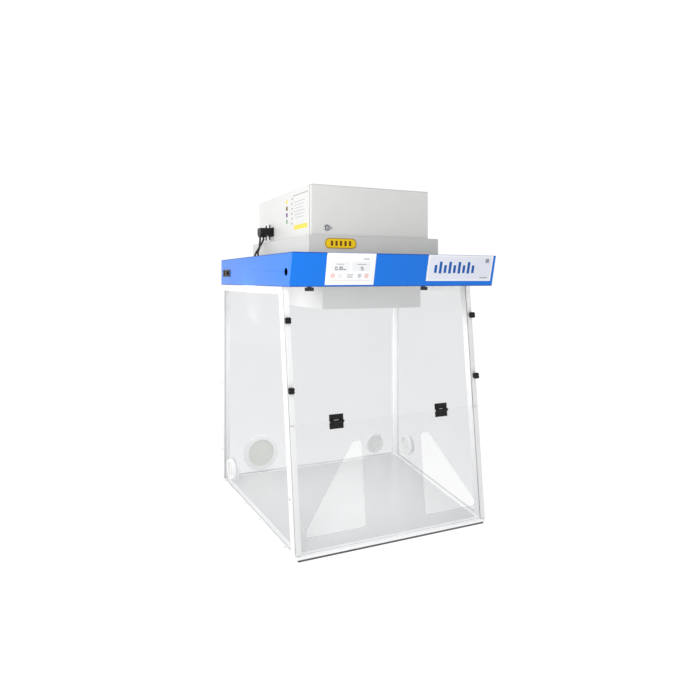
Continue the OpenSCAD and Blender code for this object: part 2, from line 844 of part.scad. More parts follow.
module fan_box_door() {
  z0 = plenum_top + box_sheet + door_gap;
  h = box_top - plenum_top - 2 * box_sheet - 2 * door_gap;
  color("#f4f5f5") difference() {
    translate([-box_half + 0.4, box_y0, z0]) cube([2 * box_half - 0.8, door_d, h]);
    translate([-box_half + 2.4, box_y0 + 2, z0 + 2]) cube([2 * box_half - 14.8, door_d, h - 4]);
    translate([box_half - 13, box_y0 + 2, z0 + 14]) cube([11, door_d, h - 28]);
    translate([pivot_x, pivot_y, z0 - 5]) cylinder(h = h + 10, r = pivot_r + turn_fit);
    translate([lock_x, box_y0 - 5, lock_z]) rotate([-90, 0, 0]) cylinder(h = 20, r = lock_r + turn_fit);
  }
}
module lock_escutcheon() {
  color("#8b8f94") translate([lock_x, box_y0, lock_z]) rotate([90, 0, 0]) difference() {
    union() {
      cylinder(h = lock_plate_t, r = lock_plate_r);
      linear_extrude(lock_plate_t) polygon([[3, 12.13], [22, 2.5], [23, 0], [22, -2.5], [3, -12.13]]);
    }
    translate([0, 0, -1]) cylinder(h = 5, r = lock_r + turn_fit);
  }
}
module door_lock() {
  y1 = box_in_y;
  color("#a9adb2") translate([lock_x, 0, lock_z]) {
    difference() {
      translate([0, box_y0 - 1.8, 0]) rotate([90, 0, 0]) cylinder(h = 3.5, r = lock_head_r);
      translate([-0.7, box_y0 - 8, -5]) cube([1.4, 5, 10]);
    }
    translate([0, box_y0 - 2, 0]) rotate([-90, 0, 0]) cylinder(h = door_d + 2, r = lock_r);
    translate([0, box_y0, 0]) rotate([-90, 0, 0]) cylinder(h = y1 - box_y0 + 6, r = lock_stem_r);
    translate([-26, y1 + 3, -6]) cube([34, 2.5, 12]);
  }
}
module exhaust_grille() {
  inner = vent_half - seat;
  color("#d9dbdc") difference() {
    union() {
      translate([-inner, fan_y - inner, box_top - grille_t]) cube([2 * inner, 2 * inner, grille_t]);
      translate([-vent_flange, fan_y - vent_flange, box_top - box_sheet - 2])
        cube([2 * vent_flange, 2 * vent_flange, 1.9]);
    }
    for (i = [0 : grille_slots - 1]) translate([-150, fan_y - 156 + i * grille_pitch, box_top - 10])
      cube([300, grille_slot, 20]);
  }
}
module fan_motor() {
  half = stack_half(box_half, box_y0, fan_y - motor_arm / 2) - box_sheet - seat;
  color("#5b5f63") {
    translate([0, fan_y, wheel_z1 + 14]) cylinder(h = motor_h, r = motor_r, $fn = 72);
    translate([0, fan_y, wheel_z1 - 10]) cylinder(h = 30, r = shaft_r);
    translate([-half, fan_y - motor_arm / 2, wheel_z1 + motor_h + 13]) cube([2 * half, motor_arm, 4]);
  }
}
module impeller() {
  color("#35383b") translate([0, fan_y, 0]) difference() {
    union() {
      translate([0, 0, wheel_z1]) cylinder(h = wheel_t, r = wheel_r, $fn = 96);
      translate([0, 0, wheel_z1 - 8]) cylinder(h = 20, r = wheel_hub_r);
      translate([0, 0, wheel_z0]) difference() {
        cylinder(h = wheel_t, r = wheel_r, $fn = 96);
        translate([0, 0, -1]) cylinder(h = 5, r = inlet_r + 8, $fn = 96);
      }
      for (i = [0 : blades - 1]) rotate([0, 0, i * 360 / blades]) translate([blade_r0, 0, wheel_z0 + 2])
        rotate([0, 0, blade_turn]) cube([blade_l, wheel_t, wheel_z1 - wheel_z0 - 1]);
    }
    translate([0, 0, wheel_z1 - 21]) cylinder(h = 60, r = shaft_r + turn_fit);
  }
}

// ---- connector and its two leads ----
grommet_at = [[-356, conn_y - 2], [-334, conn_y + 8]];
module on_box_wall(y, z) {
  translate([-stack_half(box_half, box_y0, y), y, z]) rotate([0, 0, band_a]) children();
}
function inlet_back(d) = [-band_half(inlet_y) + d * cos(band_a), inlet_y + d * sin(band_a), inlet_z];
module connector() {
  color("#141516") on_box_wall(conn_y, conn_z) {
    translate([-6, -24, -19]) cube([5.8, 48, 38]);
    translate([-14, -20, -15]) cube([9, 40, 30]);
    translate([-58, -19, -13]) cube([45, 38, 29]);
    for (s = [-1, 1]) translate([-20, s * 20 - 1.5, -34]) cube([5, 3, 64]);
    translate([-58, -12, -22]) cube([26, 24, 10]);
  }
}
module leads() {
  x0 = -stack_half(box_half, box_y0, conn_y);
  a = grommet_at[0];
  b = grommet_at[1];
  color("#121314") {
    path_rod([[x0 - 38, conn_y - 4, conn_z - 22], [x0 - 38, conn_y - 4, conn_z - 31],
      [x0 - 47, conn_y - 4, conn_z - 50], [x0 - 58, conn_y - 3, conn_z - 68], [a[0] + 7, a[1], conn_z - 89],
      [a[0], a[1], band_top + 6], [a[0], a[1], band_top - 14], [a[0] - 6, a[1] + 14, band_top - 32],
      [a[0] - 16, 262, inlet_z + 8], inlet_back(44), inlet_back(26)], lead_r);
    path_rod([[x0 - 50, conn_y + 7, conn_z - 22], [x0 - 50, conn_y + 7, conn_z - 33],
      [x0 - 53, conn_y + 8, conn_z - 66], [b[0] - 4, b[1], conn_z - 88], [b[0], b[1], band_top + 6],
      [b[0], b[1], band_top - 18], [b[0] - 9, b[1] - 18, band_top - 47], [-345, 120, 910],
      [-335, -120, 908], [-310, -236, 910], [-262, -290, 915], [-246, -318, 921],
      [-244, -334.5, 922]], lead_r);
  }
}
module lead_grommets() {
  color("#202224") for (p = grommet_at) translate([p[0], p[1], band_top - 5]) difference() {
    union() {
      cylinder(h = 8, r = lead_r + 2.8);
      cylinder(h = 1.8, r = lead_r + 5);
      translate([0, 0, 5.2]) cylinder(h = 2.4, r = lead_r + 5);
    }
    translate([0, 0, -1]) cylinder(h = 12, r = lead_r + 0.2);
  }
}

// ---- pan-head screws on the outside of the frame ----
module wall_screw(s, z) {
  on_wall(wall_half_rear, wall_a) translate([0, -s, z]) rotate([0, -90, 0]) {
    translate([0, 0, 0.02]) cylinder(h = 1.2, r = screw_r);
    translate([0, 0, 1]) cylinder(h = 0.7, r = screw_r - 1);
  }
}
module frame_screws() {
  color("#c9ccce") for (m = [0, 1]) mirror([m, 0, 0]) {
    for (z = post_screw_z) wall_screw(13, z);
    for (s = top_screw_s) wall_screw(s, band_z - 13);
    for (s = base_screw_s) wall_screw(s, skid_h + rail_h / 2);
    wall_screw(674, 184);
  }
}

skids();
base_frame();
work_surface();
post_front_left();
post_front_right();
post_rear_left();
post_rear_right();
top_rail_left();
top_rail_right();
top_rail_rear();
panel_left();
panel_right();
panel_rear();
window_upper();
window_stiles();
hinge_leaves_upper();
hinge_pins();
flap_panel();
flap_stiles();
hinge_leaves_lower();
window_knob_ul();
window_knob_ll();
window_knob_ur();
window_knob_lr();
port_ring_rear_large();
port_ring_rear_small();
port_ring_left();
port_ring_right();
port_cap_rear_large();
port_cap_rear_small();
port_cap_left();
port_cap_right();
canopy_shell();
canopy_deck();
canopy_cover();
control_fascia();
display_tiles();
control_board();
sign_plate();
badge();
power_inlet();
power_rocker();
filter_tray();
prefilter();
main_filter();
clamp_knob_left();
clamp_knob_right();
plenum();
fan_box_floor();
fan_box();
fan_box_door();
lock_escutcheon();
door_lock();
exhaust_grille();
fan_motor();
impeller();
connector();
leads();
lead_grommets();
frame_screws();
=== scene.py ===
import json
import math

import bmesh
import bpy
from mathutils import Matrix, Vector


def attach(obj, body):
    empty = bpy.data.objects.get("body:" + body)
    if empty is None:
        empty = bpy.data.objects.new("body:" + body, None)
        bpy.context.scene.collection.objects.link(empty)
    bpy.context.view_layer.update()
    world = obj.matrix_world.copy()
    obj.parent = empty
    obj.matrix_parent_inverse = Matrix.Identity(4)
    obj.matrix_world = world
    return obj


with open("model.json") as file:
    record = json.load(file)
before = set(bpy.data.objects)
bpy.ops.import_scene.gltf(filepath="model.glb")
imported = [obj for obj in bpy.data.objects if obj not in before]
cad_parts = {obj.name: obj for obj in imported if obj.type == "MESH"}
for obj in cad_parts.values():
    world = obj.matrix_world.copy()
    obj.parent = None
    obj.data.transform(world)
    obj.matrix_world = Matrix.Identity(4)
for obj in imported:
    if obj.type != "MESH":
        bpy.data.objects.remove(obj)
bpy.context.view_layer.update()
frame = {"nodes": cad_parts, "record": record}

MM = 0.001
WHITE = (1.0, 1.0, 1.0, 1.0)
scene = bpy.context.scene
nodes = frame["nodes"]

# ---------------------------------------------------------------- sizes of the CAD model, in mm

WALL_HALF_REAR = 455.0
WALL_HALF_FRONT = 375.0
BASE_DEPTH = 715.0
WINDOW_SETBACK = 95.0
# the canopy: height of its underside, its lower front edge, and its rear left corner
BAND_Z = 876.0
BAND_FRONT_Y = -347.0
BAND_LEFT_X, BAND_REAR_Y = -457.0, 372.13
# the fan box: its front left corner
BOX_LEFT_X, BOX_FRONT_Y = -249.0, -170.0
# the middle of the badge, on the face of its rim, and of the lock's head, on its face
BADGE_PLACE = (-148.0, -202.5, 1029.0)
LOCK_PLACE = (-189.0, -175.3, 1087.0)

WALL_TURN = math.atan2(WALL_HALF_REAR - WALL_HALF_FRONT, BASE_DEPTH)
WINDOW_LEAN = math.atan2(WINDOW_SETBACK, BAND_Z)
BAND_TURN = math.radians(4.532)
BAND_TILT = math.radians(12.0)

# ---------------------------------------------------------------- camera and light

LENS = 25.01
SENSOR = 36.0
SHIFT = (0.093, -0.101)
CAMERA_PLACE = (-0.934, -1.778, 0.900)
CAMERA_TURN = math.radians(-19.95)

camera_data = bpy.data.cameras.new("camera")
camera_data.lens = LENS
camera_data.sensor_width = SENSOR
camera_data.shift_x, camera_data.shift_y = SHIFT
camera_data.clip_end = 200.0
camera = bpy.data.objects.new("camera", camera_data)
scene.collection.objects.link(camera)
camera.location = CAMERA_PLACE
camera.rotation_euler = (math.radians(90.0), 0.0, CAMERA_TURN)
scene.camera = camera

scene.view_settings.view_transform = "Standard"
scene.view_settings.look = "None"
scene.cycles.use_denoising = True
scene.cycles.max_bounces = 10
scene.cycles.transparent_max_bounces = 40

world = bpy.data.worlds.new("studio")
scene.world = world
world.use_nodes = True
world_tree = world.node_tree
world_tree.nodes.clear()


def background(colour, strength):
    made = world_tree.nodes.new("ShaderNodeBackground")
    made.inputs["Color"].default_value = colour
    made.inputs["Strength"].default_value = strength
    return made.outputs[0]


# the surroundings look white, and light the object more weakly and a little coolly
world_out = world_tree.nodes.new("ShaderNodeOutputWorld")
seen = background(WHITE, 1.02)
lit = background((0.97, 0.985, 1.0, 1.0), 0.60)
ray = world_tree.nodes.new("ShaderNodeLightPath")
choose = world_tree.nodes.new("ShaderNodeMixShader")
world_tree.links.new(ray.outputs["Is Camera Ray"], choose.inputs["Fac"])
world_tree.links.new(lit, choose.inputs[1])
world_tree.links.new(seen, choose.inputs[2])
world_tree.links.new(choose.outputs[0], world_out.inputs["Surface"])


def softbox(name, place, aim, size, power, glossy=True):
    """A rectangular studio light of power watts; glossy says whether reflections show it."""
    data = bpy.data.lights.new(name, "AREA")
    data.shape = "RECTANGLE"
    data.size, data.size_y = size
    data.energy = power
    lamp = bpy.data.objects.new(name, data)
    scene.collection.objects.link(lamp)
    lamp.location = place
    lamp.rotation_mode = "QUATERNION"
    lamp.rotation_quaternion = (Vector(aim) - Vector(place)).to_track_quat("-Z", "Y")
    lamp.visible_camera = False
    lamp.visible_glossy = glossy


softbox("key_left", (-3.0, 0.2, 1.4), (0.0, 0.0, 0.8), (2.0, 2.2), 22.0)
softbox("sheen_back_left", (-3.0, 4.2, 1.2), (0.0, 0.0, 0.8), (3.0, 2.6), 23.0)
softbox("fill_front", (-0.95, -1.0, 1.05), (-0.3, -0.3, 0.92), (0.5, 0.5), 5.0)
softbox("chamber_fill", (0.0, 0.03, 0.78), (0.0, 0.03, 0.0), (0.55, 0.5), 2.8, glossy=False)
softbox("tray_fill", (-0.37, 0.03, 0.70), (-0.21, 0.03, 0.85), (0.10, 0.40), 0.35, glossy=False)

# ---------------------------------------------------------------- materials

# sockets of Blender's Mix node, by number because their names repeat
MIX_FACTOR = 0
FLOAT_A, FLOAT_B, FLOAT_OUT = 2, 3, 0
COLOUR_A, COLOUR_B, COLOUR_OUT = 6, 7, 2
# a noise texture's values lie mostly between these
NOISE_LOW, NOISE_HIGH = 0.3, 0.7
COAT_ROUGH = 0.12
# the share by which a finish's roughness varies
ROUGH_SPREAD = 0.12
# how many times finer that variation is than the mottling
WEAR_FINENESS = 7.0

# clear sheets
ACRYLIC_IOR = 1.49
ACRYLIC_COLOUR = (0.19, 0.205, 0.235)
# where a surface turns from cut edge to face: its normal along the sheet's normal
RIM_END, FACE_START = 0.55, 0.9
# colour and opacity of the cut edges
PALE_RIM = ((0.95, 0.96, 0.97), 0.75)
GREY_RIM = ((0.55, 0.57, 0.60), 0.45)
# opacity of the faces
PANEL_VEIL = 0.084
FLAP_VEIL = 0.100
VEIL_SPREAD = 0.004


def new_material(name):
    material = bpy.data.materials.new(name)
    material.use_nodes = True
    tree = material.node_tree
    tree.nodes.clear()
    out = tree.nodes.new("ShaderNodeOutputMaterial")
    shader = tree.nodes.new("ShaderNodeBsdfPrincipled")
    tree.links.new(shader.outputs[0], out.inputs["Surface"])
    return material, tree, shader


def noise(tree, scale, detail, rough, stretch=None):
    """Noise over the object; stretch squeezes it per axis, as for a brushed sheet."""
    place = tree.nodes.new("ShaderNodeTexCoord")
    made = tree.nodes.new("ShaderNodeTexNoise")
    made.inputs["Scale"].default_value = scale
    made.inputs["Detail"].default_value = detail
    made.inputs["Roughness"].default_value = rough
    if stretch is None:
        tree.links.new(place.outputs["Object"], made.inputs["Vector"])
    else:
        mapping = tree.nodes.new("ShaderNodeMapping")
        mapping.inputs["Scale"].default_value = stretch
        tree.links.new(place.outputs["Object"], mapping.inputs["Vector"])
        tree.links.new(mapping.outputs["Vector"], made.inputs["Vector"])
    return made.outputs["Fac"]


def map_range(tree, value, from_low, from_high, to_low, to_high):
    span = tree.nodes.new("ShaderNodeMapRange")
    span.inputs["From Min"].default_value = from_low
    span.inputs["From Max"].default_value = from_high
    span.inputs["To Min"].default_value = to_low
    span.inputs["To Max"].default_value = to_high
    tree.links.new(value, span.inputs["Value"])
    return span.outputs["Result"]


def between(tree, grain, low, high):
    return map_range(tree, grain, NOISE_LOW, NOISE_HIGH, low, high)


def blend(tree, factor, first, second):
    """Mix of two plain colours."""
    mix = tree.nodes.new("ShaderNodeMix")
    mix.data_type = "RGBA"
    mix.inputs[COLOUR_A].default_value = (*first, 1.0)
    mix.inputs[COLOUR_B].default_value = (*second, 1.0)
    tree.links.new(factor, mix.inputs[MIX_FACTOR])
    return mix.outputs[COLOUR_OUT]


def tint(tree, grain, colour, spread):
    darker = [c * (1 - spread) for c in colour]
    lighter = [min(c * (1 + spread), 1.0) for c in colour]
    return blend(tree, between(tree, grain, 0.0, 1.0), darker, lighter)


def bump(tree, shader, height, strength, distance):
    node = tree.nodes.new("ShaderNodeBump")
    node.inputs["Strength"].default_value = strength
    node.inputs["Distance"].default_value = distance
    tree.links.new(height, node.inputs["Height"])
    tree.links.new(node.outputs["Normal"], shader.inputs["Normal"])


def finish_of(name, colour, rough, metal=0.0, mottle=(6.0, 0.02), grain=(900.0, 0.12, 0.0003),
              coat=0.0, stretch=None, specular=0.5, painted_glow=0.0):
    """A solid finish. mottle is the scale and spread of its colour; grain is the scale,
    strength and depth in metres of its bump."""
    mottle_scale, mottle_spread = mottle
    grain_scale, grain_strength, grain_depth = grain
    material, tree, shader = new_material(name)
    shader.inputs["Metallic"].default_value = metal
    shader.inputs["Coat Weight"].default_value = coat
    shader.inputs["Coat Roughness"].default_value = COAT_ROUGH
    shader.inputs["Specular IOR Level"].default_value = specular
    # painted_glow is painted light: an emission that makes a part glow although it is no lamp
    shader.inputs["Emission Color"].default_value = WHITE
    shader.inputs["Emission Strength"].default_value = painted_glow
    blotch = noise(tree, mottle_scale, 4.0, 0.6)
    tree.links.new(tint(tree, blotch, colour, mottle_spread), shader.inputs["Base Color"])
    wear = noise(tree, mottle_scale * WEAR_FINENESS, 3.0, 0.55, stretch)
    rough_low, rough_high = rough * (1 - ROUGH_SPREAD), rough * (1 + ROUGH_SPREAD)
    tree.links.new(between(tree, wear, rough_low, rough_high), shader.inputs["Roughness"])
    bump(tree, shader, noise(tree, grain_scale, 2.0, 0.5, stretch), grain_strength, grain_depth)
    return material


def clear_finish(name, axis, rim, rim_alpha, veil):
    """Clear sheet: nearly see-through on its faces, milky on its cut edges. axis is the
    sheet's own normal."""
    material, tree, shader = new_material(name)
    shader.inputs["IOR"].default_value = ACRYLIC_IOR
    place = tree.nodes.new("ShaderNodeTexCoord")
    dot = tree.nodes.new("ShaderNodeVectorMath")
    dot.operation = "DOT_PRODUCT"
    dot.inputs[1].default_value = axis
    tree.links.new(place.outputs["Normal"], dot.inputs[0])
    flat = tree.nodes.new("ShaderNodeMath")
    flat.operation = "ABSOLUTE"
    tree.links.new(dot.outputs["Value"], flat.inputs[0])
    edge = map_range(tree, flat.outputs[0], RIM_END, FACE_START, 1.0, 0.0)
    tree.links.new(blend(tree, edge, ACRYLIC_COLOUR, rim), shader.inputs["Base Color"])
    smear = noise(tree, 5.0, 5.0, 0.65)
    face = between(tree, smear, veil - VEIL_SPREAD, veil + VEIL_SPREAD)
    alpha = tree.nodes.new("ShaderNodeMix")
    alpha.data_type = "FLOAT"
    tree.links.new(edge, alpha.inputs[MIX_FACTOR])
    tree.links.new(face, alpha.inputs[FLOAT_A])
    alpha.inputs[FLOAT_B].default_value = rim_alpha
    tree.links.new(alpha.outputs[FLOAT_OUT], shader.inputs["Alpha"])
    tree.links.new(between(tree, smear, 0.04, 0.09), shader.inputs["Roughness"])
    return material


# one finish for each material slot of the record, apart from the clear sheets
finishes = {
    "white_paint": finish_of("white_paint", (0.74, 0.74, 0.72), 0.42, coat=0.1, specular=0.35),
    "frame_white": finish_of("frame_white", (0.86, 0.86, 0.86), 0.38, specular=0.35),
    "rubber_black": finish_of("rubber_black", (0.10, 0.10, 0.105), 0.78,
                              grain=(500.0, 0.3, 0.0004)),
    "surface_grey": finish_of("surface_grey", (0.81, 0.81, 0.81), 0.22, mottle=(3.0, 0.012),
                              grain=(600.0, 0.02, 0.0002)),
    "black_plastic": finish_of("black_plastic", (0.009, 0.009, 0.010), 0.45,
                               grain=(1400.0, 0.25, 0.0003), specular=0.25),
    "steel": finish_of("steel", (0.60, 0.61, 0.62), 0.30, metal=1.0, mottle=(60.0, 0.05)),
    "port_white": finish_of("port_white", (0.95, 0.95, 0.95), 0.34),
    "cap_grey": finish_of("cap_grey", (0.78, 0.79, 0.74), 0.50, grain=(1200.0, 0.2, 0.0003)),
    "canopy_blue": finish_of("canopy_blue", (0.002, 0.166, 0.70), 0.30, mottle=(3.0, 0.01),
                             grain=(700.0, 0.06, 0.0002), coat=0.28, specular=0.1),
    "trim_white": finish_of("trim_white", (0.88, 0.88, 0.89), 0.25, coat=0.2,
                            grain=(300.0, 0.03, 0.0002)),
    "tile_pale": finish_of("tile_pale", (0.80, 0.81, 0.82), 0.2, coat=0.2),
    "board_green": finish_of("board_green", (0.03, 0.15, 0.06), 0.45, mottle=(120.0, 0.2)),
    "badge_yellow": finish_of("badge_yellow", (0.90, 0.60, 0.004), 0.30, coat=0.1,
                              mottle=(20.0, 0.02), specular=0.25),
    "rocker_orange": finish_of("rocker_orange", (0.06, 0.014, 0.005), 0.6, specular=0.05),
    "tray_grey": finish_of("tray_grey", (0.78, 0.78, 0.775), 0.42, metal=0.05,
                           stretch=(40.0, 1.0, 1.0)),
    "filter_white": finish_of("filter_white", (0.78, 0.77, 0.73), 0.9, mottle=(80.0, 0.08),
                              grain=(450.0, 0.8, 0.001)),
    "plenum_grey": finish_of("plenum_grey", (0.62, 0.62, 0.615), 0.42, metal=0.08,
                             stretch=(1.0, 1.0, 30.0)),
    "lock_metal": finish_of("lock_metal", (0.62, 0.63, 0.65), 0.25, metal=1.0, mottle=(80.0, 0.05)),
    "motor_grey": finish_of("motor_grey", (0.20, 0.21, 0.22), 0.5, metal=0.6,
                            grain=(400.0, 0.5, 0.0006)),
    "impeller_black": finish_of("impeller_black", (0.03, 0.03, 0.032), 0.5),
    "lead_black": finish_of("lead_black", (0.014, 0.014, 0.015), 0.5, grain=(600.0, 0.3, 0.0004)),
}
# the small caps are paler. The frame's base, right side and rear are lit copies of frame_white with
# a painted glow, painted light standing in for the light that comes through the clear walls
cap_pale = finish_of("cap_pale", (0.90, 0.90, 0.89), 0.45, grain=(1200.0, 0.2, 0.0003))
frame_inner_painted_glow = finish_of("frame_inner_painted_glow", (0.92, 0.92, 0.92), 0.38, specular=0.35, painted_glow=0.16)
frame_base_painted_glow = finish_of("frame_base_painted_glow", (0.92, 0.92, 0.92), 0.38, specular=0.35, painted_glow=0.07)
SMALL_CAPS = ("port_cap_left", "port_cap_right", "port_cap_rear_small")
FRONT_FRAME = ("window_stiles", "flap_stiles", "post_front_left", "post_front_right",
               "post_rear_left", "top_rail_left")
SHEET_AXES = {
    "panel_left": (math.cos(WALL_TURN), math.sin(WALL_TURN), 0.0),
    "panel_right": (math.cos(WALL_TURN), -math.sin(WALL_TURN), 0.0),
    "panel_rear": (0.0, 1.0, 0.0),
    "window_upper": (0.0, math.cos(WINDOW_LEAN), -math.sin(WINDOW_LEAN)),
    "flap_panel": (0.0, math.cos(WINDOW_LEAN), -math.sin(WINDOW_LEAN)),
}


def finish_for(name, slot_name):
    if slot_name == "clear_panel":
        rim, rim_alpha = PALE_RIM if name.startswith("panel") else GREY_RIM
        veil = FLAP_VEIL if name == "flap_panel" else PANEL_VEIL
        return clear_finish("clear_" + name, SHEET_AXES[name], rim, rim_alpha, veil)
    if name in SMALL_CAPS:
        return cap_pale
    # frame pieces away from the front get the painted-glow copies: painted light for the light
    # through the clear walls
    if slot_name == "frame_white" and name not in FRONT_FRAME:
        return frame_base_painted_glow if name == "base_frame" else frame_inner_painted_glow
    return finishes[slot_name]


for part in frame["record"]["subparts"]:
    finish = finish_for(part["node"], part["material_slot"])
    for slot in nodes[part["node"]].material_slots:
        slot.material = finish

# soft edges on the sheet metal, the frame and the inlet: width in mm, and the nodes
WELD_DISTANCE = 0.02
EDGE_ANGLE = math.radians(50.0)
SOFT_EDGES = (
    (0.5, ("window_stiles", "flap_stiles", "control_fascia", "sign_plate")),
    (0.6, ("fan_box_floor", "power_inlet")),
    (0.7, ("filter_tray",)),
    (0.9, ("canopy_shell", "canopy_cover", "fan_box")),
    (1.2, ("base_frame", "post_front_left", "post_front_right", "post_rear_left",
           "post_rear_right", "top_rail_left", "top_rail_right", "top_rail_rear")),
    (1.8, ("fan_box_door", "plenum")),
)
for width, names in SOFT_EDGES:
    for name in names:
        weld = nodes[name].modifiers.new("weld", "WELD")
        weld.merge_threshold = WELD_DISTANCE * MM
        edge = nodes[name].modifiers.new("edge", "BEVEL")
        edge.width = width * MM
        edge.segments = 2
        edge.limit_method = "ANGLE"
        edge.angle_limit = EDGE_ANGLE

# ---------------------------------------------------------------- floor

# half side and drop below the skids, in metres
FLOOR_HALF = 60.0
FLOOR_DROP = 0.0005
FLOOR_COLOUR = (0.28, 0.28, 0.28, 1.0)
FLOOR_GLOW = 0.865

floor_mesh = bpy.data.meshes.new("floor")
corners = ((-FLOOR_HALF, -FLOOR_HALF, 0.0), (FLOOR_HALF, -FLOOR_HALF, 0.0),
           (FLOOR_HALF, FLOOR_HALF, 0.0), (-FLOOR_HALF, FLOOR_HALF, 0.0))
floor_mesh.from_pydata(corners, [], [(0, 1, 2, 3)])
floor = bpy.data.objects.new("floor", floor_mesh)
scene.collection.objects.link(floor)
floor.location.z = -FLOOR_DROP
floor_finish, _, floor_shader = new_material("floor")
floor_shader.inputs["Base Color"].default_value = FLOOR_COLOUR
floor_shader.inputs["Roughness"].default_value = 0.9
floor_shader.inputs["Specular IOR Level"].default_value = 0.0
floor_shader.inputs["Emission Color"].default_value = WHITE
floor_shader.inputs["Emission Strength"].default_value = FLOOR_GLOW
floor_mesh.materials.append(floor_finish)

# ---------------------------------------------------------------- flat marks


def place_at(x, y, z):
    return Matrix.Translation((x * MM, y * MM, z * MM))


# each plane has its outlines in x and z, and its front towards -Y before it is turned
FACING_LEFT = Matrix.Rotation(BAND_TURN, 4, "Z") @ Matrix.Rotation(math.radians(-90.0), 4, "Z")
BAND = place_at(0.0, BAND_FRONT_Y, BAND_Z) @ Matrix.Rotation(BAND_TILT, 4, "X")
BAND_LEFT = place_at(BAND_LEFT_X, BAND_REAR_Y, BAND_Z) @ FACING_LEFT
BOX_LEFT = place_at(BOX_LEFT_X, BOX_FRONT_Y, 0.0) @ FACING_LEFT
BADGE = place_at(*BADGE_PLACE)
LOCK = place_at(*LOCK_PLACE)

# how far the plates' faces stand in front of their planes, in mm
PANEL_FACE = 2.0
TILE_FACE = 2.6
BADGE_FACE = 1.5
# how far the marks stand out, in mm
THIN = 0.15
MEDIUM = 0.2
THICK = 0.25
BADGE_RIM = 1.3


def bar(cx, cz, w, h):
    return [(cx + sx * w / 2, cz + sz * h / 2) for sx, sz in ((1, 1), (-1, 1), (-1, -1), (1, -1))]


def rounded(cx, cz, w, h, r, n=6):
    points = []
    for sx, sz, start in ((1, 1, 0), (-1, 1, 90), (-1, -1, 180), (1, -1, 270)):
        for i in range(n + 1):
            a = math.radians(start + 90.0 * i / n)
            x = cx + sx * (w / 2 - r) + r * math.cos(a)
            z = cz + sz * (h / 2 - r) + r * math.sin(a)
            points.append((x, z))
    return points


def ring(cx, cz, r0, r1, n=32):
    """A ring as two half outlines."""
    halves = []
    for start in (0, n // 2):
        steps = [math.tau * (start + i) / n for i in range(n // 2 + 1)]
        outer = [(cx + r1 * math.cos(a), cz + r1 * math.sin(a)) for a in steps]
        inner = [(cx + r0 * math.cos(a), cz + r0 * math.sin(a)) for a in reversed(steps)]
        halves.append(outer + inner)
    return halves


def pill(half, r, n):
    """A bar of half length half with round ends of radius r."""
    turns = [math.pi * i / n for i in range(n + 1)]
    right = [(half + r * math.sin(a), r * math.cos(a)) for a in turns]
    left = [(-half - r * math.sin(a), -r * math.cos(a)) for a in turns]
    return right + left


def pill_rim(half, r0, r1, n=16):
    """The band between two pills, as an upper and a lower outline."""
    outer, inner = pill(half, r1, 2 * n), pill(half, r0, 2 * n)
    top_out = outer[3 * n + 2:] + outer[:n + 1]
    top_in = inner[3 * n + 2:] + inner[:n + 1]
    low_out, low_in = outer[n:3 * n + 3], inner[n:3 * n + 3]
    return [top_out + top_in[::-1], low_out + low_in[::-1]]


# which bars of a seven-bar digit are drawn
SEGMENTS = {"0": "abcdef", "1": "bc", "3": "abgcd", "5": "afgcd"}


def digit(char, cx, cz, h):
    w, t = h * 0.52, h * 0.19
    upright = h / 2 - t * 0.7
    spots = {
        "a": bar(cx, cz + h / 2 - t / 2, w - t, t),
        "b": bar(cx + w / 2, cz + h / 4, t, upright),
        "c": bar(cx + w / 2, cz - h / 4, t, upright),
        "d": bar(cx, cz - h / 2 + t / 2, w - t, t),
        "e": bar(cx - w / 2, cz - h / 4, t, upright),
        "f": bar(cx - w / 2, cz + h / 4, t, upright),
        "g": bar(cx, cz, w - t, t),
    }
    return [spots[s] for s in SEGMENTS[char]]


def marks(name, outlines, y0, depth, matrix, material, body="cabinet"):
    """Raised flat marks: each outline, in mm in the plate's x and z, stands from y0 out to
    y0 + depth towards -Y."""
    mesh = bpy.data.meshes.new(name)
    made = bmesh.new()
    for outline in outlines:
        back = [made.verts.new((x * MM, -y0 * MM, z * MM)) for x, z in outline]
        front = [made.verts.new((x * MM, -(y0 + depth) * MM, z * MM)) for x, z in outline]
        made.faces.new(front)
        made.faces.new(list(reversed(back)))
        count = len(outline)
        for i in range(count):
            j = (i + 1) % count
            made.faces.new((front[i], back[i], back[j], front[j]))
    bmesh.ops.recalc_face_normals(made, faces=made.faces)
    made.to_mesh(mesh)
    made.free()
    mesh.transform(matrix)
    mesh.materials.append(material)
    piece = bpy.data.objects.new(name, mesh)
    scene.collection.objects.link(piece)
    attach(piece, body)


def band_marks(name, outlines, ink, y0=PANEL_FACE, depth=THIN):
    """Marks on the white plates of the canopy's front."""
    marks(name, outlines, y0, depth, BAND, ink)


def box_marks(name, outlines, ink):
    """Marks on the left side of the fan box."""
    marks(name, outlines, 0.0, MEDIUM, BOX_LEFT, ink)


def box_bar(y, z, w, h):
    """A bar at the object's own y and z."""
    return bar(BOX_FRONT_Y - y, z, w, h)


